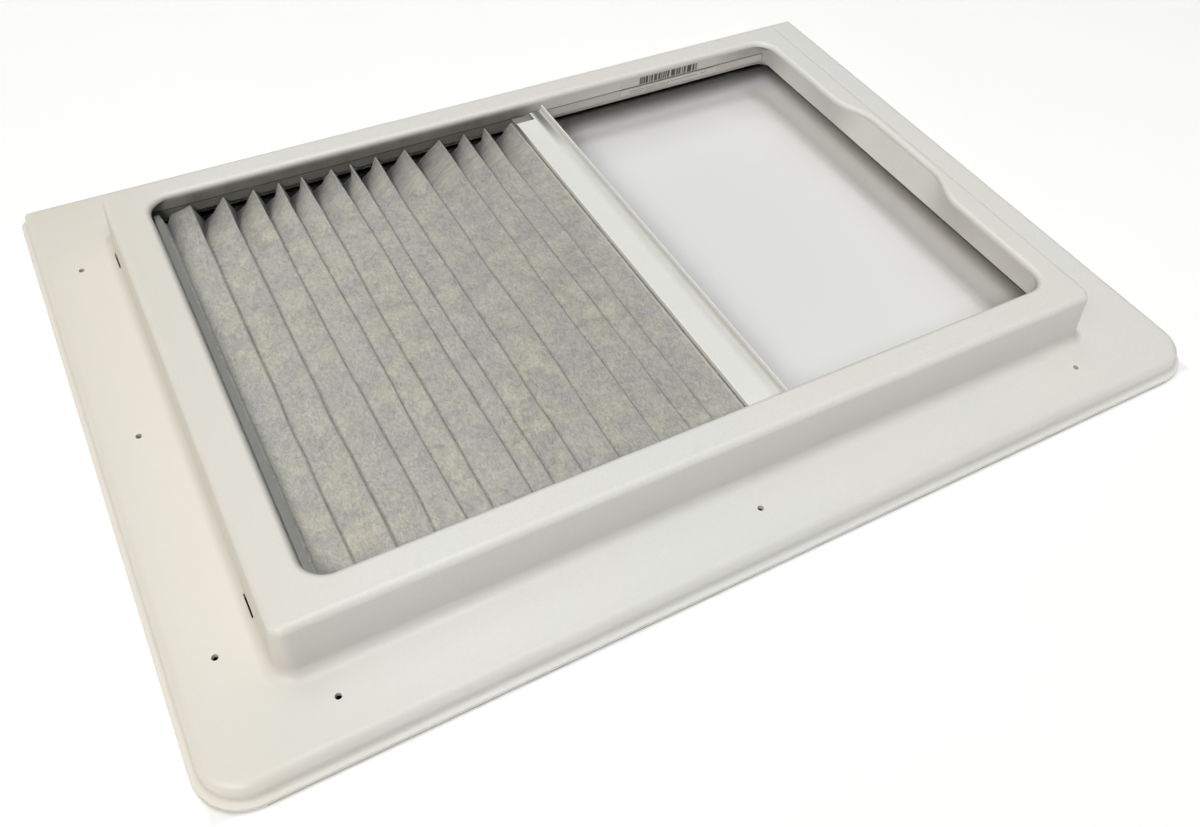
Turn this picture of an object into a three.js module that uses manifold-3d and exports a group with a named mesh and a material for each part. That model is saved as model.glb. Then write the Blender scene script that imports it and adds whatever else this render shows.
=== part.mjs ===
// Roof vent cover: the room-side frame of a caravan rooflight, with a sliding concertina filter.
// Millimetres. +Z is up out of the room-side face, +X runs along the slide, +Y goes away from
// the front. The frame lies on its four foam seals, whose lower faces are at z = 0, and the origin
// is under the middle of the flange.
import * as THREE from "three";
import { LoftGeometry } from "three/addons/geometries/LoftGeometry.js";
import { mergeVertices } from "three/addons/utils/BufferGeometryUtils.js";
import Module from "manifold-3d";

const wasm = await Module();
wasm.setup();

// ---- Driving dimensions ----

const FLANGE = { width: 659, depth: 473 }; // over the out-turned lip
const SKIN = 3; // wall of the formed shell
const CLEAR = 0.3; // gap between pieces that touch
const SEAL = 1.7; // foam under the lip
const LIP = { out: 4, thick: 2.2, fillet: 2.5 };
const FLANGE_TOP = 15;
const ROLL = 6; // rounding from the flange down into the skirt
const FLANGE_CORNER = { front: 24, back: 3 };
const SMALLEST_RADIUS = 0.4;

const BOX = { x: -7, y: -3, width: 536, depth: 363, height: 37 };
const BOX_DRAFT = 2.5; // outward lean of the raised wall at its base
const BOX_EDGE = 4.5; // rounding of the top edge
const BOX_FILLET = 7; // hollow where the wall meets the flange
const BOX_CORNER = 8;
const TOP = FLANGE_TOP + BOX.height;

const OPENING = { x: -4.5, y: -2, width: 491, depth: 321 };
const OPENING_EDGE = 3.5;
const OPENING_CORNER = { top: 18, bottom: 2, bend: 45.5 }; // square up to the bend, rounded above it
const LIP_BOTTOM = 34; // lower edge of the return wall inside the opening
const SCOOP = { depth: 11, halfLength: 70, ramp: 36 };

const SLIT = { bottom: 40.05, top: 40.95 }; // the run of the slider's blades
const PILOT_HOLE = 3.6;
const PILOT = { sideX: 294.5, sideY: 157, frontX: 248, frontY: 204 };
const WALL_SLOT = { length: 16, width: 1.8, off: 0.7, bottom: 11, top: 24, back: 150, front: -141 };

const BAR = { left: 12.5, width: 25.5, flat: 14.5, top: 43, lipTop: 47.2, wall: 1.2, foot: 36.5 };
const BAR_END_GAP = 1.2;
const MEDIA = { thick: 1.2, ridge: 40, valley: 27.5, tab: 38.6, endGap: 1.8, fold: 3 };
const FIRST_RIDGE = -225;
const PLEATS = [22, 20, 18, 16, 22, 14, 18, 23, 26, 19, 17]; // from one ridge to the next
const OVERCUT = 1; // how far a cutter passes the face that it opens
const LAP = 1; // how far the boxes of one joined piece reach into each other

// ---- Materials ----

const material = (color, roughness, metalness = 0) =>
  new THREE.MeshStandardMaterial({ color, roughness, metalness });
const finish = {
  shell: () => material(0xe2e1dc, 0.5),
  rail: () => material(0xd9d8d1, 0.45),
  bar: () => material(0xe8e8e2, 0.4),
  insert: () => material(0xcfcfc9, 0.55),
  media: () => material(0xa4a49b, 0.95),
  strip: () => material(0x8f8f89, 0.6),
  seal: () => material(0x9a9a98, 0.9),
  steel: () => material(0xb4b5b8, 0.35, 0.9),
  paper: () => material(0xe6e5df, 0.7),
};

const object = new THREE.Group();

function addPart(name, geometry, surface) {
  const mesh = new THREE.Mesh(geometry, surface);
  mesh.name = name;
  object.add(mesh);
  return mesh;
}

// ---- Solid helpers ----

function toSolid(geometry) {
  const plain = new THREE.BufferGeometry();
  const source = geometry.index ? geometry.toNonIndexed() : geometry;
  plain.setAttribute("position", source.getAttribute("position"));
  const merged = mergeVertices(plain, 1e-4);
  return new wasm.Manifold(
    new wasm.Mesh({
      numProp: 3,
      vertProperties: merged.getAttribute("position").array,
      triVerts: new Uint32Array(merged.index.array),
    }),
  );
}

function toGeometry(solid) {
  const mesh = solid.getMesh();
  const geometry = new THREE.BufferGeometry();
  geometry.setAttribute("position", new THREE.BufferAttribute(new Float32Array(mesh.vertProperties), 3));
  geometry.setIndex(new THREE.BufferAttribute(new Uint32Array(mesh.triVerts), 1));
  geometry.computeVertexNormals();
  return geometry;
}

function cutAway(geometry, cutters) {
  return toGeometry(cutters.reduce((body, cutter) => body.subtract(toSolid(cutter)), toSolid(geometry)));
}

function joined(geometries) {
  const solids = geometries.map(toSolid);
  return toGeometry(solids.reduce((body, solid) => body.add(solid)));
}

// A box from its lowest to its highest corner.
function slab(low, high) {
  const size = high.map((value, axis) => value - low[axis]);
  const middle = high.map((value, axis) => (value + low[axis]) / 2);
  return new THREE.BoxGeometry(...size).translate(...middle);
}

function rod(radius, length, axis, middle, sides = 16) {
  const geometry = new THREE.CylinderGeometry(radius, radius, length, sides);
  if (axis === "x") geometry.rotateZ(Math.PI / 2);
  if (axis === "z") geometry.rotateX(Math.PI / 2);
  return geometry.translate(...middle);
}

// Shares of a head's radius and height that give its crown, its shoulder and its cross recess.
const HEAD = { crown: 0.7, shoulder: 0.45, recessReach: 0.55, recessFloor: 0.4, recessHalf: 0.45 };
const HEAD_SIDES = 14;

// A pan-head screw along +Z: the seat of its head is at the origin and its shank goes up.
function screwProfile(head, headHeight, shank, length) {
  return [
    new THREE.Vector2(0, -headHeight),
    new THREE.Vector2(head * HEAD.crown, -headHeight),
    new THREE.Vector2(head, -headHeight * HEAD.shoulder),
    new THREE.Vector2(head, 0),
    new THREE.Vector2(shank, 0),
    new THREE.Vector2(shank, length - shank),
    new THREE.Vector2(0, length),
  ];
}

function screwGeometry({ head, headHeight, shank, length }) {
  const turned = new THREE.LatheGeometry(screwProfile(head, headHeight, shank, length), HEAD_SIDES);
  turned.rotateX(Math.PI / 2);
  const reach = head * HEAD.recessReach;
  const half = HEAD.recessHalf;
  const outside = -headHeight - OVERCUT;
  const floor = -headHeight * HEAD.recessFloor;
  const recess = [
    slab([-reach, -half, outside], [reach, half, floor]),
    slab([-half, -reach, outside], [half, reach, floor]),
  ];
  return cutAway(turned, recess);
}

// ---- Shell ----

const ARC_STEPS = 6;
const INNER_CHAMFER = 0.5; // inside the bend of the return wall
const SCOOP_STEPS = 7;

// Points of the right side where the scoop's outline bends, measured from its middle.
function scoopStations() {
  const flat = SCOOP.halfLength - SCOOP.ramp;
  const rising = Array.from({ length: SCOOP_STEPS }, (_, i) => flat + (SCOOP.ramp * i) / (SCOOP_STEPS - 1));
  return [...rising.map((y) => -y).reverse(), ...rising];
}

function scoopShare(y) {
  const along = THREE.MathUtils.clamp((SCOOP.halfLength - Math.abs(y)) / SCOOP.ramp, 0, 1);
  return (1 - Math.cos(Math.PI * along)) / 2;
}

// One level ring: a rounded rectangle with its own middle, half sizes and corner radii.
function ring({ x, y, halfX, halfY, scoop = 0, ...corners }, z) {
  const front = Math.max(corners.front, SMALLEST_RADIUS);
  const back = Math.max(corners.back, SMALLEST_RADIUS);
  const points = [];
  const arc = (cornerX, cornerY, radius, start) => {
    for (let step = 0; step <= ARC_STEPS; step += 1) {
      const angle = start + (Math.PI / 2) * (step / ARC_STEPS);
      points.push(
        new THREE.Vector3(cornerX + radius * Math.cos(angle), cornerY + radius * Math.sin(angle), z),
      );
    }
  };
  for (const station of scoopStations()) {
    points.push(new THREE.Vector3(x + halfX + scoop * scoopShare(station), y + station, z));
  }
  arc(x + halfX - back, y + halfY - back, back, 0);
  arc(x - halfX + back, y + halfY - back, back, Math.PI / 2);
  arc(x - halfX + front, y - halfY + front, front, Math.PI);
  arc(x + halfX - front, y - halfY + front, front, Math.PI * 1.5);
  return points.reverse(); // clockwise from above, so that the loft faces outwards
}

const openingRing = (offset, z, corner, scoop) =>
  ring(
    {
      x: OPENING.x,
      y: OPENING.y,
      halfX: OPENING.width / 2 + offset,
      halfY: OPENING.depth / 2 + offset,
      front: corner + offset,
      back: corner + offset,
      scoop,
    },
    z,
  );

const boxRing = (offset, z) =>
  ring(
    {
      x: BOX.x,
      y: BOX.y,
      halfX: BOX.width / 2 + offset,
      halfY: BOX.depth / 2 + offset,
      front: BOX_CORNER + offset,
      back: BOX_CORNER + offset,
    },
    z,
  );

// Offsets of a flange ring are measured from the skirt's outer face.
const flangeRing = (offset, z) =>
  ring(
    {
      x: 0,
      y: 0,
      halfX: FLANGE.width / 2 - LIP.out + offset,
      halfY: FLANGE.depth / 2 - LIP.out + offset,
      front: FLANGE_CORNER.front + offset,
      back: FLANGE_CORNER.back + offset,
    },
    z,
  );

const quarter = (steps) => Array.from({ length: steps + 1 }, (_, i) => (Math.PI / 2) * (i / steps));

// The scoop's depth grows evenly from the return wall's lower edge to the opening's rounding.
const scoopAt = (z) => (SCOOP.depth * (z - LIP_BOTTOM)) / (TOP - OPENING_EDGE - LIP_BOTTOM);

// The shell's section as a closed run of rings: up the return wall, over the top plate, down to
// the flange and the lip, and back underneath.
function shellSections() {
  const sections = [];
  const lipFace = LIP_BOTTOM;
  const corner = OPENING_CORNER;
  sections.push(openingRing(0, lipFace, corner.bottom, 0));
  sections.push(openingRing(0, corner.bend, corner.bottom, scoopAt(corner.bend)));
  for (const angle of quarter(3)) {
    const offset = OPENING_EDGE * (1 - Math.cos(angle));
    const z = TOP - OPENING_EDGE * (1 - Math.sin(angle));
    sections.push(openingRing(offset, z, corner.top - OPENING_EDGE, SCOOP.depth));
  }
  for (const angle of quarter(4)) {
    sections.push(boxRing(BOX_EDGE * (Math.sin(angle) - 1), TOP - BOX_EDGE * (1 - Math.cos(angle))));
  }
  for (const angle of quarter(4)) {
    const offset = BOX_DRAFT + BOX_FILLET * (1 - Math.cos(angle));
    sections.push(boxRing(offset, FLANGE_TOP + BOX_FILLET * (1 - Math.sin(angle))));
  }
  for (const angle of quarter(4)) {
    sections.push(flangeRing(ROLL * (Math.sin(angle) - 1), FLANGE_TOP - ROLL * (1 - Math.cos(angle))));
  }
  const seat = SEAL + CLEAR;
  const lipTop = seat + LIP.thick;
  for (const angle of quarter(2)) {
    const z = lipTop + LIP.fillet * (1 - Math.sin(angle));
    sections.push(flangeRing(LIP.fillet * (1 - Math.cos(angle)), z));
  }
  sections.push(flangeRing(LIP.out, lipTop));
  sections.push(flangeRing(LIP.out, seat));
  sections.push(flangeRing(-SKIN, seat));
  for (const angle of quarter(2).reverse()) {
    const inner = ROLL - SKIN;
    sections.push(flangeRing(-ROLL + inner * Math.sin(angle), FLANGE_TOP - ROLL + inner * Math.cos(angle)));
  }
  for (const angle of quarter(2).reverse()) {
    const outer = BOX_FILLET + SKIN;
    const offset = BOX_DRAFT - SKIN + outer * (1 - Math.cos(angle));
    sections.push(boxRing(offset, FLANGE_TOP - SKIN + outer * (1 - Math.sin(angle))));
  }
  sections.push(boxRing(-SKIN, TOP - BOX_EDGE));
  sections.push(boxRing(-BOX_EDGE, TOP - SKIN));
  const innerBend = OPENING_EDGE + INNER_CHAMFER;
  sections.push(openingRing(innerBend, TOP - SKIN, corner.top - OPENING_EDGE, SCOOP.depth));
  sections.push(openingRing(SKIN, TOP - innerBend, corner.top - OPENING_EDGE, SCOOP.depth));
  sections.push(openingRing(SKIN, corner.bend, corner.bottom, scoopAt(corner.bend)));
  sections.push(openingRing(SKIN, lipFace, corner.bottom, 0));
  sections.push(sections[0]);
  return sections;
}

const openingFace = {
  left: OPENING.x - OPENING.width / 2,
  right: OPENING.x + OPENING.width / 2,
  front: OPENING.y - OPENING.depth / 2,
  back: OPENING.y + OPENING.depth / 2,
};

const boxWallLeft = BOX.x - BOX.width / 2 - BOX_DRAFT;

// The run of the front and back return walls that gives way to the guide rails.
const RAIL = { left: -258, right: 252, wall: 2, reach: 15.3, lead: 1.2, top: TOP - SKIN - CLEAR };

function railNotches() {
  const depth = RAIL.reach + CLEAR;
  return [
    slab(
      [openingFace.left, openingFace.front - depth, LIP_BOTTOM - OVERCUT],
      [openingFace.right, openingFace.front + OVERCUT, SLIT.top],
    ),
    slab(
      [openingFace.left, openingFace.back - OVERCUT, LIP_BOTTOM - OVERCUT],
      [openingFace.right, openingFace.back + depth, SLIT.top],
    ),
  ];
}

function pilotHoles() {
  const places = [];
  for (const along of [-1, 0, 1]) {
    for (const side of [-1, 1]) {
      places.push([side * PILOT.sideX + BOX.x, along * PILOT.sideY + BOX.y]);
      places.push([along * PILOT.frontX + BOX.x, side * PILOT.frontY + BOX.y]);
    }
  }
  return places.map(([x, y]) => rod(PILOT_HOLE / 2, SKIN * 4, "z", [x, y, FLANGE_TOP - SKIN / 2]));
}

const slotMiddles = [WALL_SLOT.front, WALL_SLOT.back];

function wallSlots() {
  const half = WALL_SLOT.length / 2;
  const cuts = [];
  const outer = boxWallLeft - WALL_SLOT.off - WALL_SLOT.width;
  for (const y of slotMiddles) {
    cuts.push(
      slab([outer, y - half, WALL_SLOT.bottom], [outer + WALL_SLOT.width, y + half, WALL_SLOT.top]),
    );
  }
  return cuts;
}

const ANCHOR_SCREWS = [-118, -2, 114];
const SCREW = { head: 2.9, headHeight: 1.7, shank: 1.3, length: 7.5 };
const SCREW_HOLE = 1.6;
const HOLE_SIDES = 12;
const SNUG = 0.15; // radial room round a shank in the hole it is driven into
const anchorScrewZ = 36.2;

function anchorScrewHoles(fromX, toX) {
  return ANCHOR_SCREWS.map((y) =>
    rod(SCREW_HOLE, toX - fromX, "x", [(fromX + toX) / 2, y, anchorScrewZ], HOLE_SIDES),
  );
}

function outerFrame() {
  const shell = new LoftGeometry(shellSections());
  return cutAway(shell, [
    ...railNotches(),
    ...pilotHoles(),
    ...wallSlots(),
    ...anchorScrewHoles(openingFace.left - SKIN - OVERCUT, openingFace.left + OVERCUT),
  ]);
}

// ---- Seals ----

const SEAL_INSET = 0.5;

function addSeals() {
  const x = FLANGE.width / 2;
  const y = FLANGE.depth / 2;
  const inset = SEAL_INSET;
  const width = LIP.out + SKIN - 2 * inset;
  const cornerX = x - FLANGE_CORNER.front - LIP.out;
  const low = -cornerX;
  addPart("seal_front", slab([low, -y + inset, 0], [cornerX, -y + inset + width, SEAL]), finish.seal());
  addPart("seal_back", slab([low, y - inset - width, 0], [cornerX, y - inset, SEAL]), finish.seal());
  const cornerY = y - FLANGE_CORNER.front - LIP.out;
  addPart("seal_left", slab([-x + inset, -cornerY, 0], [-x + inset + width, cornerY, SEAL]), finish.seal());
  addPart("seal_right", slab([x - inset - width, -cornerY, 0], [x - inset, cornerY, SEAL]), finish.seal());
}

// ---- Guide rails ----

// Each rail is drawn for the back wall and turned over for the front: v is the distance behind
// the opening's face.
const sides = [
  { name: "front", y: (v) => openingFace.front - v, sign: -1 },
  { name: "back", y: (v) => openingFace.back + v, sign: 1 },
];

function sideSlab(side, [x0, v0, z0], [x1, v1, z1]) {
  const y = [side.y(v0), side.y(v1)].sort((a, b) => a - b);
  return slab([x0, y[0], z0], [x1, y[1], z1]);
}

function railGeometry(side) {
  const { left, right, wall, reach, top } = RAIL;
  const faceEnds = [openingFace.left + CLEAR, openingFace.right - CLEAR];
  const behind = SKIN + CLEAR;
  const body = joined([
    sideSlab(side, [left, behind, LIP_BOTTOM], [right, reach, LIP_BOTTOM + wall]),
    sideSlab(side, [left, reach - wall, LIP_BOTTOM], [right, reach, top]),
    sideSlab(side, [left, behind + RAIL.lead, top - wall], [right, reach, top]),
    sideSlab(side, [faceEnds[0], CLEAR, LIP_BOTTOM], [faceEnds[1], wall + CLEAR, SLIT.bottom]),
    sideSlab(side, [faceEnds[0], CLEAR, LIP_BOTTOM], [faceEnds[1], behind + LAP, LIP_BOTTOM + wall]),
  ]);
  const holeY = side.y(BLOCK.middle);
  return cutAway(
    body,
    blockEnds.map((end) => rod(SCREW_HOLE, wall * 3, "z", [end.screwX, holeY, LIP_BOTTOM], HOLE_SIDES)),
  );
}

const BLOCK = { middle: 9, stub: 10, screwInset: 5, cap: 3, capFront: 1, stubFront: 1.5, pilot: 14 };
const blockEnds = [
  { name: "left", out: -1, railEnd: RAIL.left, screwX: RAIL.left + BLOCK.screwInset },
  { name: "right", out: 1, railEnd: RAIL.right, screwX: RAIL.right - BLOCK.screwInset },
];

function endBlockGeometry(side, end) {
  const span = (a, b) => [Math.min(a, b), Math.max(a, b)];
  const cap = span(end.railEnd + end.out * CLEAR, end.railEnd + end.out * BLOCK.cap);
  const stub = span(end.railEnd - end.out * BLOCK.stub, end.railEnd + end.out * (CLEAR + LAP));
  const inner = { v0: SKIN + BLOCK.stubFront, v1: RAIL.reach - RAIL.wall - CLEAR };
  const low = LIP_BOTTOM + RAIL.wall + CLEAR;
  const high = RAIL.top - RAIL.wall - CLEAR;
  const body = joined([
    sideSlab(side, [cap[0], SKIN + BLOCK.capFront, LIP_BOTTOM], [cap[1], RAIL.reach, RAIL.top]),
    sideSlab(side, [stub[0], inner.v0, low], [stub[1], inner.v1, high]),
  ]);
  const pilotPlace = [end.screwX, side.y(BLOCK.middle), low];
  const pilot = rod(SCREW.shank + SNUG, BLOCK.pilot, "z", pilotPlace, HOLE_SIDES);
  return cutAway(body, [pilot]);
}

function addRails() {
  for (const side of sides) {
    addPart(`guide_rail_${side.name}`, railGeometry(side), finish.rail());
    for (const end of blockEnds) {
      addPart(`rail_end_block_${side.name}_${end.name}`, endBlockGeometry(side, end), finish.insert());
      const screw = screwGeometry(SCREW).translate(end.screwX, side.y(BLOCK.middle), LIP_BOTTOM - CLEAR);
      addPart(`rail_screw_${side.name}_${end.name}`, screw, finish.steel());
    }
  }
}

// ---- Fixed end of the filter ----

const ANCHOR = { width: 6, thick: 3.4, endGap: 1.5, screwLength: 6.8 };
const CLAMP = { thick: 1.4, width: 4, inset: 1.2 };
const anchorX = openingFace.left + CLEAR;
const acrossLow = openingFace.front + ANCHOR.endGap;
const acrossHigh = openingFace.back - ANCHOR.endGap;

// The corners of the opening are rounded, so the strips stop short of them.
const cornerStop = OPENING_CORNER.bottom;

function addAnchor() {
  const top = MEDIA.tab - MEDIA.thick / 2 - CLEAR;
  const bottom = top - ANCHOR.thick;
  const strip = slab(
    [anchorX, acrossLow + cornerStop, bottom],
    [anchorX + ANCHOR.width, acrossHigh - cornerStop, top],
  );
  const pilots = ANCHOR_SCREWS.map((y) =>
    rod(SCREW.shank + SNUG, ANCHOR.width * 2, "x", [anchorX, y, anchorScrewZ], HOLE_SIDES),
  );
  addPart("pleat_anchor_strip", cutAway(strip, pilots), finish.insert());
  const clampX = anchorX + CLAMP.inset;
  const clampBottom = MEDIA.tab + MEDIA.thick / 2 + CLEAR;
  addPart(
    "pleat_clamp_strip",
    slab(
      [clampX, acrossLow + cornerStop, clampBottom],
      [clampX + CLAMP.width, acrossHigh - cornerStop, clampBottom + CLAMP.thick],
    ),
    finish.strip(),
  );
  ANCHOR_SCREWS.forEach((y, i) => {
    const screw = screwGeometry({ ...SCREW, length: ANCHOR.screwLength });
    screw.rotateY(Math.PI / 2);
    screw.translate(openingFace.left - SKIN - CLEAR, y, anchorScrewZ);
    addPart(`anchor_screw_${i + 1}`, screw, finish.steel());
  });
}

// ---- Handle bar and its shoes ----

const barEnds = { low: openingFace.front + BAR_END_GAP, high: openingFace.back - BAR_END_GAP };

// A section in the XZ plane pushed along +Y between two stations.
function pushedAlongY(shape, fromY, toY) {
  const form = { depth: toY - fromY, bevelEnabled: false, curveSegments: 8 };
  const geometry = new THREE.ExtrudeGeometry(shape, form);
  return geometry.rotateX(Math.PI / 2).translate(0, toY, 0);
}

const BAR_FORM = {
  round: 0.8,
  dip: { near: 6.5, far: 0.1 },
  sag: { near: 1.1, far: 1.5 },
  crown: 0.6,
  web: 1.5,
  step: 4,
  underside: 1.3,
};
const LIP_RISE = 0.4;
const GRIP_END = { length: 9, floor: 41.4 }; // the flat grip stops short of the bar's back end

// The bar's section: a flat grip, a shallow trough, and a raised lip whose web goes down to the foot.
function barShape() {
  const { left, width, flat, top, lipTop, wall, foot } = BAR;
  const { round, dip, sag, crown, web, step, underside } = BAR_FORM;
  const right = left + width;
  const floor = MEDIA.tab + underside;
  const shape = new THREE.Shape();
  shape.moveTo(left, floor);
  shape.lineTo(left, top - round);
  shape.quadraticCurveTo(left, top, left + round, top);
  shape.lineTo(left + flat, top);
  shape.bezierCurveTo(
    left + flat + dip.near,
    top - sag.near,
    right - wall - dip.far,
    top - sag.far,
    right - wall,
    lipTop - crown,
  );
  shape.quadraticCurveTo(right - wall / 2, lipTop + LIP_RISE, right, lipTop - crown);
  shape.lineTo(right, foot);
  shape.lineTo(right - wall, foot);
  shape.lineTo(right - wall, top - wall - web);
  shape.lineTo(left + flat - step, top - wall - web);
  shape.lineTo(left + flat - step - LAP, floor);
  shape.closePath();
  return shape;
}

const TONGUE = { left: 11.5, right: 1.9, bottom: 36.8, top: 39.6, length: 24 };
const SHOE = { left: -2.5, right: 2, low: 36.4, high: 45.8, behind: 4.2, depth: 8.6 };
const BLADE = { low: 40.3, high: 40.7, root: 1.4, narrower: 0.5 };
const NECK = { length: 6, inset: 0.6, step: 0.5, mouth: 0.4, start: 0.2, top: 39.8 };
const shoeScrewX = BAR.left + BAR.width + CLEAR;
const shoeScrewZ = 38.2;
const SHOE_SCREW = { head: 2.2, headHeight: 1.3, shank: 1, length: 6.5, fromEnd: 12, pilot: 14, hole: 0.3 };
const shoeScrewY = (side) => side.y(-BAR_END_GAP - SHOE_SCREW.fromEnd);

function shoeGeometry(side) {
  const x0 = BAR.left + TONGUE.left;
  const x1 = BAR.left + BAR.width - TONGUE.right;
  const bladeX = x1 - BLADE.narrower;
  const barEnd = -BAR_END_GAP;
  const body = joined([
    sideSlab(side, [x0, barEnd - TONGUE.length, TONGUE.bottom], [x1, barEnd - NECK.inset, TONGUE.top]),
    sideSlab(side, [x0, barEnd - NECK.length, TONGUE.top - LAP], [bladeX, barEnd + NECK.step, NECK.top]),
    sideSlab(side, [x0, barEnd + NECK.start, BLADE.low - BLADE.root], [bladeX, -NECK.mouth, BLADE.high]),
    sideSlab(side, [x0, -NECK.mouth * 2, BLADE.low], [bladeX, SHOE.behind + LAP, BLADE.high]),
    sideSlab(
      side,
      [BAR.left + SHOE.left, SHOE.behind, SHOE.low],
      [BAR.left + BAR.width + SHOE.right, SHOE.behind + SHOE.depth, SHOE.high],
    ),
  ]);
  const pilotPlace = [x1, shoeScrewY(side), shoeScrewZ];
  const pilot = rod(SHOE_SCREW.shank + SNUG, SHOE_SCREW.pilot, "x", pilotPlace, HOLE_SIDES);
  return cutAway(body, [pilot]);
}

const STRIP = { near: 0.5, far: 9.5, endGap: 2, thick: 1.4 };

function addSlider() {
  const bar = pushedAlongY(barShape(), barEnds.low, barEnds.high);
  const holeRadius = SHOE_SCREW.shank + SHOE_SCREW.hole;
  const screwHoles = sides.map((side) =>
    rod(holeRadius, BAR.wall * 4, "x", [shoeScrewX, shoeScrewY(side), shoeScrewZ], HOLE_SIDES),
  );
  const gripEnd = slab(
    [BAR.left - OVERCUT, barEnds.high - GRIP_END.length, GRIP_END.floor],
    [BAR.left + BAR.flat, barEnds.high + OVERCUT, BAR.top + OVERCUT],
  );
  addPart("handle_bar", cutAway(bar, [...screwHoles, gripEnd]), finish.bar());
  for (const side of sides) {
    addPart(`end_shoe_${side.name}`, shoeGeometry(side), finish.insert());
    const screw = screwGeometry(SHOE_SCREW);
    screw.rotateY(-Math.PI / 2);
    screw.translate(shoeScrewX, shoeScrewY(side), shoeScrewZ);
    addPart(`shoe_screw_${side.name}`, screw, finish.steel());
  }
  const clipTop = MEDIA.tab - MEDIA.thick / 2 - CLEAR;
  addPart(
    "pleat_clip_strip",
    slab(
      [BAR.left + STRIP.near, acrossLow + STRIP.endGap, clipTop - STRIP.thick],
      [BAR.left + STRIP.far, acrossHigh - STRIP.endGap, clipTop],
    ),
    finish.strip(),
  );
}

// ---- Concertina filter ----

const FIRST_TAB = { start: 0.7, past: 1.2, rise: 5 };
const LAST_TAB = { short: 1.4, drop: 0.3, length: 9 };

// Middle line of the media from the fixed end to the handle bar.
function mediaLine() {
  const tabEnd = anchorX + ANCHOR.width;
  const line = [
    [anchorX + FIRST_TAB.start, MEDIA.tab],
    [tabEnd + FIRST_TAB.past, MEDIA.tab],
    [tabEnd + MEDIA.fold, MEDIA.valley + FIRST_TAB.rise],
  ];
  let ridge = FIRST_RIDGE;
  line.push([ridge, MEDIA.ridge]);
  for (const pitch of PLEATS) {
    line.push([ridge + MEDIA.fold, MEDIA.valley]);
    ridge += pitch;
    line.push([ridge, MEDIA.ridge]);
  }
  line.push([ridge + MEDIA.fold, MEDIA.valley]);
  line.push([BAR.left - LAST_TAB.short, MEDIA.tab - LAST_TAB.drop], [BAR.left + LAST_TAB.length, MEDIA.tab]);
  return line.map(([x, z]) => new THREE.Vector2(x, z));
}

const SHARPEST_MITRE = 0.35;

// Thickens an open line into a closed outline by moving both sides off it along its mitres.
function thickened(line, thick) {
  const upper = [];
  const lower = [];
  line.forEach((point, i) => {
    const before = line[Math.max(i - 1, 0)];
    const after = line[Math.min(i + 1, line.length - 1)];
    const into = (i > 0 ? point.clone().sub(before) : after.clone().sub(point)).normalize();
    const out = (i < line.length - 1 ? after.clone().sub(point) : into.clone()).normalize();
    const mitre = new THREE.Vector2(-(into.y + out.y), into.x + out.x).normalize();
    const normal = new THREE.Vector2(-into.y, into.x);
    const reach = thick / 2 / Math.max(mitre.dot(normal), SHARPEST_MITRE);
    upper.push(point.clone().addScaledVector(mitre, reach));
    lower.push(point.clone().addScaledVector(mitre, -reach));
  });
  return new THREE.Shape([...upper, ...lower.reverse()]);
}

function addFilter() {
  const low = openingFace.front + MEDIA.endGap;
  const high = openingFace.back - MEDIA.endGap;
  const sheet = pushedAlongY(thickened(mediaLine(), MEDIA.thick), low, high);
  const corner = cornerStop + OVERCUT;
  const cornerCuts = sides.map((side) =>
    sideSlab(
      side,
      [openingFace.left - OVERCUT, -corner, 0],
      [openingFace.left + corner, OVERCUT, TOP],
    ),
  );
  addPart("pleated_filter", cutAway(sheet, cornerCuts), finish.media());
}

// ---- Retaining clips ----

const CLIP = { thick: 1, leg: 12, width: 14, shelf: 7, tip: 3.4, behind: 1.6, z: 20 };

// A bent spring-steel clip behind each wall slot: the tongue lies in the slot.
function clipGeometry(y) {
  const half = CLIP.width / 2;
  const z = CLIP.z;
  const tip = boxWallLeft + CLIP.tip;
  const end = boxWallLeft + SKIN + CLIP.behind + CLIP.shelf;
  return joined([
    slab([tip, y - half, z - CLIP.thick / 2], [end, y + half, z + CLIP.thick / 2]),
    slab([end - CLIP.thick, y - half, z - CLIP.thick / 2], [end, y + half, z + CLIP.leg]),
  ]);
}

function addClips() {
  for (const [place, y] of Object.entries({ front: WALL_SLOT.front, back: WALL_SLOT.back })) {
    addPart(`retaining_clip_${place}`, clipGeometry(y), finish.steel());
  }
}

// ---- Labels ----

const LABEL = { left: 107, right: 195, thick: 0.25, margin: 0.6, topMargin: 0.2, slitMargin: 0.4 };

// A paper label on each tier of the back inner wall, above and below the slit.
function addLabels() {
  const near = openingFace.back - CLEAR - LABEL.thick;
  const upper = { bottom: SLIT.top + LABEL.margin, top: TOP - OPENING_EDGE - LABEL.topMargin };
  const lower = { bottom: LIP_BOTTOM + LABEL.margin, top: SLIT.bottom - LABEL.slitMargin };
  addPart(
    "rating_label_upper",
    slab([LABEL.left, near, upper.bottom], [LABEL.right, near + LABEL.thick, upper.top]),
    finish.paper(),
  );
  addPart(
    "rating_label_lower",
    slab([LABEL.left, near + CLEAR, lower.bottom], [LABEL.right, near + CLEAR + LABEL.thick, lower.top]),
    finish.paper(),
  );
}

addPart("outer_frame", outerFrame(), finish.shell());
addSeals();
addRails();
addAnchor();
addSlider();
addFilter();
addClips();
addLabels();

export default object;
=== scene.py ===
"""Roof vent cover: the room-side frame of a caravan rooflight, with a sliding concertina filter.

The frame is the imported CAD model, in metres: +Z is up out of the room-side face, +X runs along
the slide, and the origin is under the middle of the flange. Lengths here are millimetres until
they become vertices.
"""

import math

import bmesh
import bpy
from mathutils import Matrix, Vector, noise


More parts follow.
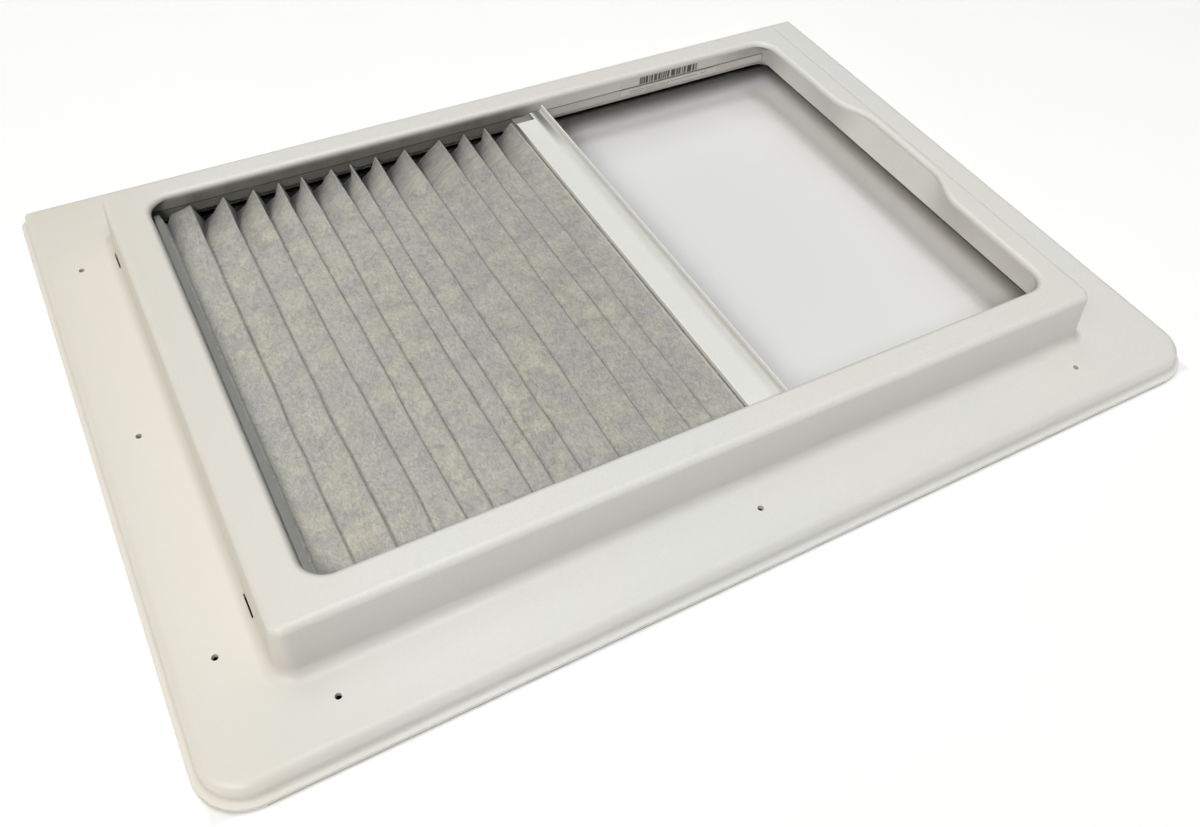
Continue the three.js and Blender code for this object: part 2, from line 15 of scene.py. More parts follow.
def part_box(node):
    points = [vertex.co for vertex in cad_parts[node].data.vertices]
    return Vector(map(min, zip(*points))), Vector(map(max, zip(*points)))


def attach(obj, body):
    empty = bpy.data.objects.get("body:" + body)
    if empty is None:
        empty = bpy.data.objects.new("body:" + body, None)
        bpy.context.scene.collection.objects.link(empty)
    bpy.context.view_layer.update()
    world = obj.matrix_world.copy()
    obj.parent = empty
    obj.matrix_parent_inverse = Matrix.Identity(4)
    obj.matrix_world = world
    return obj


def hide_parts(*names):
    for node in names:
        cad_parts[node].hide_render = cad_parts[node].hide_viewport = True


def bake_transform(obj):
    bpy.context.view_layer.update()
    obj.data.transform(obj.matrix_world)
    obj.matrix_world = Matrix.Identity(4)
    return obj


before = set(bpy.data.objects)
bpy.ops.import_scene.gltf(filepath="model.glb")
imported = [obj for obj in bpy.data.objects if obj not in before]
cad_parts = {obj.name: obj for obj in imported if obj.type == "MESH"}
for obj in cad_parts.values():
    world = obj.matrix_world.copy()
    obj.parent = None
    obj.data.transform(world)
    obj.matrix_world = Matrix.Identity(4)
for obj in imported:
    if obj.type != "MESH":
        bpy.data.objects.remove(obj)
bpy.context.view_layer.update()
scene = bpy.context.scene
MM = 0.001

# ---- Camera, floor and light ----

CAMERA = {"place": (-0.2754, -0.4552, 0.496), "azimuth": -32.22, "elevation": 49.30, "roll": 4.58}
LENS = 31.59
SENSOR = 36.0


def add_camera():
    data = bpy.data.cameras.new("view")
    data.lens = LENS
    data.sensor_width = SENSOR
    camera = bpy.data.objects.new("view", data)
    scene.collection.objects.link(camera)
    turn = (
        Matrix.Rotation(math.radians(CAMERA["azimuth"]), 4, "Z")
        @ Matrix.Rotation(math.radians(90 - CAMERA["elevation"]), 4, "X")
        @ Matrix.Rotation(math.radians(CAMERA["roll"]), 4, "Z")
    )
    camera.matrix_world = Matrix.Translation(CAMERA["place"]) @ turn
    scene.camera = camera


def add_area_light(name, place, aim, size, power, colour=(1, 1, 1)):
    data = bpy.data.lights.new(name, "AREA")
    data.shape = "RECTANGLE"
    data.size, data.size_y = size
    data.energy = power
    data.color = colour
    light = bpy.data.objects.new(name, data)
    scene.collection.objects.link(light)
    away = Vector(place) - Vector(aim)
    light.matrix_world = Matrix.Translation(place) @ away.to_track_quat("Z", "Y").to_matrix().to_4x4()


WORLD_STRENGTH = 0.01
CENTRE = (0, 0, 0)
LIGHTS = [
    ("key", (-4.95, -4.1, 6.4), CENTRE, (2.4, 2.4), 372, (1.0, 0.985, 1.0)),
    ("left_fill", (-6.6, -1.2, 6.6), CENTRE, (3.6, 3.6), 122, (1.0, 0.89, 0.6)),
    ("overhead", (0, 0, 5.0), CENTRE, (1.3, 1.3), 66, (1.0, 0.99, 1.0)),
    ("spot", (0.66, -2.0, 4.7), CENTRE, (0.4, 0.4), 24, (1.0, 1.0, 1.0)),
    ("back_fill", (0, 4.4, 9.0), CENTRE, (5.0, 5.0), 196, (1.0, 1.0, 0.98)),
    ("right_fill", (4.4, 0, 9.0), CENTRE, (5.0, 5.0), 116, (0.84, 0.98, 1.0)),
]


def add_world():
    world = bpy.data.worlds.new("studio")
    scene.world = world
    world.use_nodes = True
    background = world.node_tree.nodes["Background"]
    background.inputs["Color"].default_value = (1, 1, 1, 1)
    background.inputs["Strength"].default_value = WORLD_STRENGTH
    scene.view_settings.view_transform = "Standard"


# ---- Mesh helpers ----


def new_piece(name, vertices, faces):
    """A mesh object from vertices in millimetres."""
    mesh = bpy.data.meshes.new(name)
    mesh.from_pydata([Vector(v) * MM for v in vertices], [], faces)
    mesh.update()
    piece = bpy.data.objects.new(name, mesh)
    scene.collection.objects.link(piece)
    return piece


def face_outwards(piece):
    work = bmesh.new()
    work.from_mesh(piece.data)
    bmesh.ops.recalc_face_normals(work, faces=work.faces)
    work.to_mesh(piece.data)
    work.free()


def settle(piece):
    """Applies a piece's modifiers to its mesh."""
    graph = bpy.context.evaluated_depsgraph_get()
    mesh = bpy.data.meshes.new_from_object(piece.evaluated_get(graph))
    piece.modifiers.clear()
    piece.data = mesh
    mesh.name = piece.name


def shade(piece, angle=32):
    piece.data.shade_smooth()
    piece.data.set_sharp_from_angle(angle=math.radians(angle))
    even = piece.modifiers.new("even", "WEIGHTED_NORMAL")
    even.keep_sharp = True


def box_mesh(boxes, name="cutter"):
    """One mesh of separate boxes, each from its lowest to its highest corner."""
    vertices, faces = [], []
    for low, high in boxes:
        start = len(vertices)
        for x in (low[0], high[0]):
            for y in (low[1], high[1]):
                for z in (low[2], high[2]):
                    vertices.append((x, y, z))
        for quad in ((0, 1, 3, 2), (4, 6, 7, 5), (0, 4, 5, 1), (2, 3, 7, 6), (0, 2, 6, 4), (1, 5, 7, 3)):
            faces.append([start + i for i in quad])
    return new_piece(name, vertices, faces)


def turned_mesh(places, profile, axis="z", sides=32, name="cutter"):
    """One mesh of separate turned solids: profile is (radius, height) from bottom to top."""
    vertices, faces = [], []
    for place in places:
        start = len(vertices)
        for radius, height in profile:
            for step in range(sides):
                turn = 2 * math.pi * step / sides
                across, up = radius * math.cos(turn), radius * math.sin(turn)
                point = (across, up, height) if axis == "z" else (height, across, up)
                vertices.append([p + q for p, q in zip(place, point)])
        for level in range(len(profile) - 1):
            for step in range(sides):
                after = (step + 1) % sides
                low, high = start + level * sides, start + (level + 1) * sides
                faces.append((low + step, low + after, high + after, high + step))
        faces.append([start + i for i in reversed(range(sides))])
        faces.append([start + (len(profile) - 1) * sides + i for i in range(sides)])
    return new_piece(name, vertices, faces)


def carve(piece, cutter, operation="DIFFERENCE"):
    face_outwards(cutter)
    cut = piece.modifiers.new("cut", "BOOLEAN")
    cut.operation = operation
    cut.solver = "EXACT"
    cut.object = cutter
    settle(piece)
    bpy.data.objects.remove(cutter)


# ---- Material helpers ----


class Surface:
    """A Principled material and the few calls that wire its nodes."""

    def __init__(self, name, metallic=0.0, **shader):
        self.material = bpy.data.materials.new(name)
        self.material.use_nodes = True
        self.tree = self.material.node_tree
        self.shader = self.tree.nodes["Principled BSDF"]
        self.shader.inputs["Metallic"].default_value = metallic
        for socket, value in shader.items():
            self.shader.inputs[socket.replace("_", " ")].default_value = value
        self.place = self.node("ShaderNodeTexCoord").outputs["Object"]

    def node(self, kind, **settings):
        made = self.tree.nodes.new(kind)
        for key, value in settings.items():
            setattr(made, key, value)
        return made

    def feed(self, socket, value):
        if isinstance(value, bpy.types.NodeSocket):
            self.tree.links.new(value, socket)
        else:
            socket.default_value = value

    def noise(self, scale, detail=2.0, rough=0.5, stretch=None, vector=None, distortion=0.0):
        made = self.node("ShaderNodeTexNoise")
        source = vector or self.place
        if stretch:
            mapping = self.node("ShaderNodeMapping")
            self.feed(mapping.inputs["Vector"], source)
            mapping.inputs["Scale"].default_value = stretch
            source = mapping.outputs["Vector"]
        self.feed(made.inputs["Vector"], source)
        made.inputs["Scale"].default_value = scale
        made.inputs["Detail"].default_value = detail
        made.inputs["Roughness"].default_value = rough
        made.inputs["Distortion"].default_value = distortion
        return made.outputs["Fac"]

    def span(self, value, low, high, to_low=0.0, to_high=1.0, smooth=True):
        made = self.node("ShaderNodeMapRange")
        made.interpolation_type = "SMOOTHSTEP" if smooth else "LINEAR"
        for key, item in zip(("Value", "From Min", "From Max", "To Min", "To Max"),
                             (value, low, high, to_low, to_high)):
            self.feed(made.inputs[key], item)
        return made.outputs["Result"]

    def math(self, operation, first, second=0.0):
        made = self.node("ShaderNodeMath", operation=operation)
        self.feed(made.inputs[0], first)
        self.feed(made.inputs[1], second)
        return made.outputs[0]

    def mix(self, share, first, second, blend="MIX"):
        made = self.node("ShaderNodeMix", data_type="RGBA", blend_type=blend)
        for index, value in ((0, share), (6, first), (7, second)):
            if index and not isinstance(value, bpy.types.NodeSocket):
                value = (*value, 1.0)
            self.feed(made.inputs[index], value)
        return made.outputs[2]

    def bump(self, layers):
        """Chains bumps: each layer is (height, strength, depth in millimetres)."""
        normal = None
        for height, strength, depth in layers:
            made = self.node("ShaderNodeBump")
            made.inputs["Strength"].default_value = strength
            made.inputs["Distance"].default_value = depth * MM
            self.feed(made.inputs["Height"], height)
            if normal:
                self.feed(made.inputs["Normal"], normal)
            normal = made.outputs["Normal"]
        self.feed(self.shader.inputs["Normal"], normal)

    def finish(self, colour, roughness):
        self.feed(self.shader.inputs["Base Color"], colour)
        self.feed(self.shader.inputs["Roughness"], roughness)
        return self.material

    def yellowing_and_painted_shade(self, colour, zones):
        """Yellowing and painted shade in places, as zones of colour. A zone's fades each rise along an axis
        from a start to an end.
        """
        for zone in zones:
            share = zone["share"]
            axes = self.node("ShaderNodeSeparateXYZ")
            self.feed(axes.inputs["Vector"], self.place)
            for axis, (start, end) in zone["fades"]:
                fade = self.span(axes.outputs[axis], min(start, end) * MM, max(start, end) * MM,
                                 float(end < start), float(end > start))
                share = self.math("MULTIPLY", fade, share)
            patchy = self.span(self.noise(60, 4.0, 0.6), 0.25, 0.75, 0.85, 1.0)
            colour = self.mix(self.math("MULTIPLY", share, patchy), colour, zone["tone"])
        return colour

    def edges(self, low=0.515, high=0.6):
        return self.span(self.node("ShaderNodeNewGeometry").outputs["Pointiness"], low, high)

    def creases(self, reach):
        """1 deep in corners and hollows, 0 in the open."""
        made = self.node("ShaderNodeAmbientOcclusion", samples=4)
        made.inputs["Distance"].default_value = reach * MM
        return self.span(made.outputs["AO"], 0.75, 0.25)


def plastic(name, base, aged, roughness, grain=0.02, wear=0.25, grime_and_shade=0.25, ageing=0.8, zones=()):
    """Moulded plastic that has yellowed in patches, with fine grain and rubbed edges, darker in its corners
    from dirt and painted shade, and with zones of yellowing and painted shade.
    """
    surface = Surface(name, IOR=1.5)
    patches = surface.span(surface.noise(5.5, 3.0, 0.55), 0.38, 0.66, 0.0, ageing)
    colour = surface.mix(patches, base, aged)
    fleck = surface.span(surface.noise(700, 4.0, 0.7), 0.3, 0.7, 0.975, 1.025)
    colour = surface.mix(1.0, colour, fleck, "MULTIPLY")
    rubbed = surface.math("MULTIPLY", surface.edges(), surface.span(surface.noise(60, 4.0, 0.6), 0.35, 0.65))
    colour = surface.mix(surface.math("MULTIPLY", rubbed, wear), colour, [min(1, c * 1.12) for c in base])
    # Dirt and painted shade: darker in corners and hollows, where the ambient occlusion mask is high.
    dirt_and_shade = surface.math("MULTIPLY", surface.creases(5), surface.span(surface.noise(90, 5.0, 0.65), 0.3, 0.7))
    colour = surface.mix(surface.math("MULTIPLY", dirt_and_shade, grime_and_shade), colour, (0.23, 0.2, 0.15))
    colour = surface.yellowing_and_painted_shade(colour, zones)
    scuffs = surface.noise(45, 6.0, 0.7, stretch=(1, 4, 1))
    surface.bump([
        (surface.noise(110, 2.0, 0.5), 0.25, 0.05),
        (surface.noise(2400, 3.0, 0.6), 0.5, grain),
    ])
    return surface.finish(colour, surface.span(scuffs, 0.3, 0.7, roughness - 0.05, roughness + 0.07))


def filter_cloth():
    """Thick fibrous non-woven media, greyed in clouds where dust has settled, with a painted highlight along
    its ridges and dust and painted shade at its back end and in its valleys.
    """
    surface = Surface("filter_media", Specular_IOR_Level=0.12, Sheen_Weight=0.12, Sheen_Roughness=0.6)
    flat = surface.node("ShaderNodeAttribute", attribute_name="cloth").outputs["Vector"]
    clouds = surface.noise(62, 6.0, 0.68, vector=flat, distortion=0.6)
    colour = surface.mix(surface.span(clouds, 0.36, 0.64), (0.36, 0.355, 0.335), (0.465, 0.455, 0.38))
    wide = surface.noise(11, 3.0, 0.5, vector=flat)
    colour = surface.mix(surface.span(wide, 0.35, 0.65, 0.0, 0.5), colour, (0.395, 0.395, 0.385))
    fibres = surface.noise(380, 7.0, 0.8, stretch=(1, 0.55, 1), vector=flat, distortion=1.4)
    colour = surface.mix(1.0, colour, surface.span(fibres, 0.3, 0.7, 0.74, 1.26), "MULTIPLY")
    # Painted highlight: lighter along the ridges.
    ridge_highlight = surface.node("ShaderNodeAttribute", attribute_name="ridge_highlight").outputs["Fac"]
    colour = surface.mix(surface.math("MULTIPLY", ridge_highlight, 0.7), colour, (0.62, 0.61, 0.57))
    axes = surface.node("ShaderNodeSeparateXYZ")
    surface.feed(axes.inputs["Vector"], surface.place)
    grey = surface.span(axes.outputs["X"], -190 * MM, -20 * MM, 1.0, 0.9)
    colour = surface.mix(1.0, colour, grey, "MULTIPLY")
    # Dust and painted shade: darker towards the back end.
    back_end_dust_and_shade = surface.span(axes.outputs["Y"], (FACE["back"] - 42) * MM, FACE["back"] * MM)
    colour = surface.mix(surface.math("MULTIPLY", back_end_dust_and_shade, 0.5), colour, (0.1, 0.098, 0.1))
    # Dust and painted shade in the valleys near the back end.
    dust_and_shade = surface.node("ShaderNodeAttribute", attribute_name="dust_and_shade").outputs["Fac"]
    colour = surface.mix(surface.math("MULTIPLY", dust_and_shade, 0.85), colour, (0.05, 0.046, 0.05))
    hairs = surface.noise(1300, 3.0, 0.6, stretch=(0.35, 1, 1), vector=flat, distortion=2.0)
    surface.bump([(fibres, 0.6, 0.25), (hairs, 0.5, 0.12)])
    return surface.finish(colour, surface.span(fibres, 0.3, 0.7, 0.85, 0.98))


def metal(name, base, roughness):
    """Plated steel with fine scratches and a little tarnish in its corners."""
    surface = Surface(name, metallic=1.0)
    scratches = surface.noise(900, 4.0, 0.7, stretch=(0.2, 1, 1))
    tarnish = surface.span(surface.noise(350, 4.0, 0.6), 0.45, 0.7, 0.0, 0.5)
    colour = surface.mix(tarnish, base, (0.36, 0.31, 0.25))
    colour = surface.mix(surface.math("MULTIPLY", surface.creases(1.5), 0.7), colour, (0.08, 0.07, 0.06))
    surface.bump([(scratches, 0.4, 0.02)])
    return surface.finish(colour, surface.span(scratches, 0.3, 0.7, roughness - 0.08, roughness + 0.12))


def foam():
    """Closed-cell sealing foam, its cells open on the skin."""
    surface = Surface("sealing_foam", Specular_IOR_Level=0.15)
    cells = surface.node("ShaderNodeTexVoronoi")
    surface.feed(cells.inputs["Vector"], surface.place)
    cells.inputs["Scale"].default_value = 2600
    wall = surface.span(cells.outputs["Distance"], 0.0, 0.7)
    colour = surface.mix(wall, (0.1, 0.1, 0.1), (0.2, 0.2, 0.2))
    colour = surface.mix(surface.span(surface.noise(30, 4.0), 0.4, 0.65, 0, 0.4), colour, (0.27, 0.26, 0.24))
    surface.bump([(wall, 0.7, 0.12)])
    return surface.finish(colour, surface.span(wall, 0, 1, 0.98, 0.85))


def paper(name, bars=None, rules=None):
    """Matt label paper. bars and rules are plain generic stripes, in millimetres of the object frame."""
    surface = Surface(name, Specular_IOR_Level=0.3)
    fibre = surface.noise(1500, 5.0, 0.7)
    colour = surface.mix(surface.span(fibre, 0.3, 0.7), (0.66, 0.65, 0.6), (0.74, 0.73, 0.69))
    colour = surface.mix(surface.span(surface.noise(70, 4.0), 0.5, 0.75, 0, 0.35), colour, (0.55, 0.5, 0.38))
    axes = surface.node("ShaderNodeSeparateXYZ")
    surface.feed(axes.inputs["Vector"], surface.place)
    along, up = axes.outputs["X"], axes.outputs["Z"]

    def within(value, low, high):
        above = surface.math("GREATER_THAN", value, low * MM)
        return surface.math("MULTIPLY", above, surface.math("LESS_THAN", value, high * MM))

    if bars:
        stripes = surface.node("ShaderNodeTexNoise", noise_dimensions="1D")
        surface.feed(stripes.inputs["W"], surface.math("MULTIPLY", along, 600.0))
        stripes.inputs["Scale"].default_value = 1.0
        ink = surface.math("GREATER_THAN", stripes.outputs["Fac"], 0.45)
        ink = surface.math("MULTIPLY", ink, within(along, bars["left"], bars["right"]))
        ink = surface.math("MULTIPLY", ink, within(up, bars["bottom"], bars["top"]))
        colour = surface.mix(surface.math("MULTIPLY", ink, 0.92), colour, (0.05, 0.05, 0.055))
    for rule in rules or []:
        breaks = surface.span(surface.noise(260, 0.0, stretch=(1, 0, 0)), 0.36, 0.4)
        ink = surface.math("MULTIPLY", within(along, rule["left"], rule["right"]), breaks)
        ink = surface.math("MULTIPLY", ink, within(up, rule["bottom"], rule["top"]))
        colour = surface.mix(surface.math("MULTIPLY", ink, 0.7), colour, (0.15, 0.15, 0.16))
    surface.bump([(fibre, 0.3, 0.03)])
    return surface.finish(colour, surface.span(fibre, 0.3, 0.7, 0.6, 0.75))


# ---- Shell ----

SKIN = 3.0
FLANGE = {"half_x": 325.5, "half_y": 232.5, "front": 24, "back": 3, "top": 15, "roll": 6}
SMALLEST_RADIUS = 0.4
LIP = {"out": 4, "thick": 2.2, "fillet": 2.5, "seat": 2.0, "edge": 0.5}
BOX = {"x": -7, "y": -3, "half_x": 268, "half_y": 181.5, "corner": 8, "draft": 2.5, "edge": 4.5, "fillet": 7}
OPENING = {"x": -4.5, "y": -2, "half_x": 245.5, "half_y": 160.5, "edge": 3.5, "bottom": 34}
OPENING_CORNER = {"top": 18, "bottom": 2, "bend": 45.5}
TOP = 52
SCOOP = {"depth": 11, "half": 70, "ramp": 36}
RING = {"arc": 12, "scoop": 24, "beside": 6, "across": 26, "left": 16}
FACE = {
    "left": OPENING["x"] - OPENING["half_x"],
    "right": OPENING["x"] + OPENING["half_x"],
    "front": OPENING["y"] - OPENING["half_y"],
    "back": OPENING["y"] + OPENING["half_y"],
}


def spread(start, end, count):
    """count points strictly between start and end."""
    return [start + (end - start) * (i + 1) / (count + 1) for i in range(count)]


def scoop_share(distance):
    along = min(max((SCOOP["half"] - abs(distance)) / SCOOP["ramp"], 0), 1)
    return (1 - math.cos(math.pi * along)) / 2


def ring(x, y, half_x, half_y, front, back, z, scoop=0.0):
    """One level ring: a rounded rectangle, its right side pushed out by the finger scoop."""
    right, left, low, high = x + half_x, x - half_x, y - half_y, y + half_y
    front, back = max(front, SMALLEST_RADIUS), max(back, SMALLEST_RADIUS)
    reach = SCOOP["half"]
    points = []
    for stop in spread(low + front, y - reach, RING["beside"]):
        points.append((right, stop, z))
    for step in range(RING["scoop"] + 1):
        station = -reach + 2 * reach * step / RING["scoop"]
        points.append((right + scoop * scoop_share(station), y + station, z))
    for stop in spread(y + reach, high - back, RING["beside"]):
        points.append((right, stop, z))

    def arc(middle_x, middle_y, radius, start):
        for step in range(RING["arc"] + 1):
            angle = math.radians(start + 90 * step / RING["arc"])
            points.append((middle_x + radius * math.cos(angle), middle_y + radius * math.sin(angle), z))

    arc(right - back, high - back, back, 0)
    points.extend((stop, high, z) for stop in spread(right - back, left + back, RING["across"]))
    arc(left + back, high - back, back, 90)
    points.extend((left, stop, z) for stop in spread(high - back, low + front, RING["left"]))
    arc(left + front, low + front, front, 180)
    points.extend((stop, low, z) for stop in spread(left + front, right - front, RING["across"]))
    arc(right - front, low + front, front, 270)
    return points


def opening_ring(offset, z, corner, scoop):
    o = OPENING
    corner += offset
    return ring(o["x"], o["y"], o["half_x"] + offset, o["half_y"] + offset, corner, corner, z, scoop)


def box_ring(offset, z):
    b = BOX
    corner = b["corner"] + offset
    return ring(b["x"], b["y"], b["half_x"] + offset, b["half_y"] + offset, corner, corner, z)


def flange_ring(offset, z):
    f = FLANGE
    return ring(0, 0, f["half_x"] + offset, f["half_y"] + offset, f["front"] + offset, f["back"] + offset, z)


def between(first, last, count):
    rings = []
    for step in range(1, count + 1):
        share = step / (count + 1)
        rings.append([tuple(p + (q - p) * share for p, q in zip(a, b)) for a, b in zip(first, last)])
    return rings


def quarter(steps):
    return [math.pi / 2 * i / steps for i in range(steps + 1)]


def shell_sections():
    """The closed run of rings: up the return wall, over the top, down to the lip, and back underneath."""
    edge, rim = OPENING["edge"], OPENING_CORNER["top"] - OPENING["edge"]
    square, bend = OPENING_CORNER["bottom"], OPENING_CORNER["bend"]
    scoop_at_bend = SCOOP["depth"] * (bend - OPENING["bottom"]) / (TOP - edge - OPENING["bottom"])
    low = opening_ring(0, OPENING["bottom"], square, 0)
    middle = opening_ring(0, bend, square, scoop_at_bend)
    wall_top = opening_ring(0, TOP - edge, rim, SCOOP["depth"])
    sections = [low, *between(low, middle, 3), middle, *between(middle, wall_top, 2)]
    for angle in quarter(8):
        lift = edge * (1 - math.sin(angle))
        sections.append(opening_ring(edge * (1 - math.cos(angle)), TOP - lift, rim, SCOOP["depth"]))
    for angle in quarter(8):
        height = TOP - BOX["edge"] * (1 - math.cos(angle))
        sections.append(box_ring(BOX["edge"] * (math.sin(angle) - 1), height))
    foot = []
    for angle in quarter(10):
        height = FLANGE["top"] + BOX["fillet"] * (1 - math.sin(angle))
        foot.append(box_ring(BOX["draft"] + BOX["fillet"] * (1 - math.cos(angle)), height))
    sections += [*between(sections[-1], foot[0], 2), *foot]
    roll = []
    for angle in quarter(8):
        height = FLANGE["top"] - FLANGE["roll"] * (1 - math.cos(angle))
        roll.append(flange_ring(FLANGE["roll"] * (math.sin(angle) - 1), height))
    sections += [*between(foot[-1], roll[0], 3), *roll]
    lip_top = LIP["seat"] + LIP["thick"]
    for angle in quarter(5):
        offset = LIP["fillet"] * (1 - math.cos(angle))
        sections.append(flange_ring(offset, lip_top + LIP["fillet"] * (1 - math.sin(angle))))
    round_off = LIP["edge"]
    for angle in quarter(3):
        offset = LIP["out"] + round_off * (math.sin(angle) - 1)
        sections.append(flange_ring(offset, lip_top - round_off * (1 - math.cos(angle))))
    sections.append(flange_ring(LIP["out"], LIP["seat"]))
    sections.append(flange_ring(-SKIN, LIP["seat"]))
    inner_roll = FLANGE["roll"] - SKIN
    for angle in reversed(quarter(4)):
        height = FLANGE["top"] - FLANGE["roll"] + inner_roll * math.cos(angle)
        sections.append(flange_ring(-FLANGE["roll"] + inner_roll * math.sin(angle), height))
    outer = BOX["fillet"] + SKIN
    under = []
    for angle in reversed(quarter(5)):
        offset = BOX["draft"] - SKIN + outer * (1 - math.cos(angle))
        under.append(box_ring(offset, FLANGE["top"] - SKIN + outer * (1 - math.sin(angle))))
    sections += [*between(sections[-1], under[0], 3), *under]
    sections.append(box_ring(-SKIN, TOP - BOX["edge"]))
    sections.append(box_ring(-BOX["edge"], TOP - SKIN))
    turn = edge + 0.5
    sections.append(opening_ring(turn, TOP - SKIN, rim, SCOOP["depth"]))
    sections.append(opening_ring(SKIN, TOP - turn, rim, SCOOP["depth"]))
    sections.append(opening_ring(SKIN, bend, square, scoop_at_bend))
    sections.append(opening_ring(SKIN, OPENING["bottom"], square, 0))
    return sections


WARP = {"height": 0.14, "length": 150.0}


def warp(x, y):
    """The slight unevenness of a large moulding, as a height in millimetres."""
    return WARP["height"] * noise.noise(Vector((x / WARP["length"], y / WARP["length"], 0.37)))


def add_shell():
    sections = shell_sections()
    count = len(sections[0])
    vertices = [(x, y, z + warp(x, y)) for section in sections for x, y, z in section]
    faces = []
    for level in range(len(sections)):
        here, there = level * count, (level + 1) % len(sections) * count
        for i in range(count):
            j = (i + 1) % count
            faces.append((here + i, here + j, there + j, there + i))
    shell = new_piece("moulded_shell", vertices, faces)
    face_outwards(shell)
    carve(shell, box_mesh(rail_notches()))
    carve(shell, box_mesh(wall_slots()))
    carve(shell, turned_mesh(pilot_holes(), PILOT_PROFILE))
    carve(shell, turned_mesh(anchor_holes(), ANCHOR_PROFILE, axis="x", sides=20))
    for place in PIPS:
        carve(shell, turned_mesh([place], PIP_PROFILE, sides=20), "UNION")
    shade(shell)
    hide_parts("outer_frame")
    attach(shell, "frame")
    return shell


SLIT_TOP = 40.95
RAIL_DEPTH = 15.6


def rail_notches():
    """Where the front and back return walls give way to the guide rails."""
    left, right, low = FACE["left"], FACE["right"], OPENING["bottom"] - 1
    return [
        ((left, FACE["front"] - RAIL_DEPTH, low), (right, FACE["front"] + 1, SLIT_TOP)),
        ((left, FACE["back"] - 1, low), (right, FACE["back"] + RAIL_DEPTH, SLIT_TOP)),
    ]


WALL_SLOT = {"off": 0.7, "width": 0.9, "half": 8, "bottom": 11, "top": 24, "middles": (-141, 150)}


def wall_slots():
    """Two narrow slots at the foot of the raised frame's left side."""
    slot = WALL_SLOT
    right = BOX["x"] - BOX["half_x"] - BOX["draft"] - slot["off"]
    left = right - slot["width"]
    return [
        ((left, y - slot["half"], slot["bottom"]), (right, y + slot["half"], slot["top"]))
        for y in slot["middles"]
    ]


PILOT = {"side_x": 294.5, "side_y": 157, "front_x": 248, "front_y": 204}
PILOT_PROFILE = [(1.8, -6), (1.8, 4)]
ANCHOR_PROFILE = [(1.6, -5), (1.6, 5)]
ANCHOR_SCREWS = {"middles": (-118, -2, 114), "height": 36.2}
PIP_PROFILE = [(0.75, -0.5), (0.7, 0.1), (0.5, 0.3), (0.2, 0.38)]
PIPS = [(117.3, -176.6, TOP), (123.3, -175.9, TOP), (129.9, -175.4, TOP)]


def pilot_holes():
    middle = FLANGE["top"] - SKIN / 2
    places = []
    for along in (-1, 0, 1):
        for side in (-1, 1):
            places.append((BOX["x"] + side * PILOT["side_x"], BOX["y"] + along * PILOT["side_y"], middle))
            places.append((BOX["x"] + along * PILOT["front_x"], BOX["y"] + side * PILOT["front_y"], middle))
    return places


def anchor_holes():
    return [(FACE["left"] - SKIN / 2, y, ANCHOR_SCREWS["height"]) for y in ANCHOR_SCREWS["middles"]]


# ---- Concertina filter ----

CLOTH = {"half_thick": 0.45, "valley": 27.5, "ridge": 40.0, "fold": -2.8, "tab": 38.6}
GAPE = {"reach": 48.0, "fold": 9.6, "drop": 3.0}
# Dust and painted shade in the valleys near the back end: how far it reaches, and how far up a rising face
# it fades.
VALLEY_DUST_AND_SHADE = {"reach": 75.0, "fade": 0.7}
KNEE = {"along": 1.4, "height": 36.2, "wide": 7.0, "drop": 6.5}
TAB = {"start": 1.0, "end": 6.2, "foot": 7.6, "drop": 0.8, "inset": 8.0, "under_bar": 9}
CLOTH_ENDS = (FACE["front"] + 1.8, FACE["back"] - 1.8)
RISE_STOPS = (0.0, 0.04, 0.1, 0.19, 0.3, 0.42, 0.54, 0.66, 0.77, 0.86, 0.93, 0.975)
FALL_STOPS = (0.0, 0.07, 0.2, 0.4, 0.62, 0.82, 0.94)
CLOTH_ROWS = 88
BAR_LEFT = 12.5


def ridges():
    """The x of every fold's ridge, in millimetres, from the CAD node's own upper corners."""
    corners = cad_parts["pleated_filter"].data.vertices
    tips = {round(v.co.x / MM, 1) for v in corners if v.co.z > (CLOTH["ridge"] + 0.5) * MM}
    lines = []
    for tip in sorted(tips):
        if not lines or tip - lines[-1] > 5:
            lines.append(tip)
    return lines


def wander(seed, y, size, length):
    return size * noise.noise(Vector((seed * 3.7 + 0.31, y / length, seed * 1.9 + 0.77)))


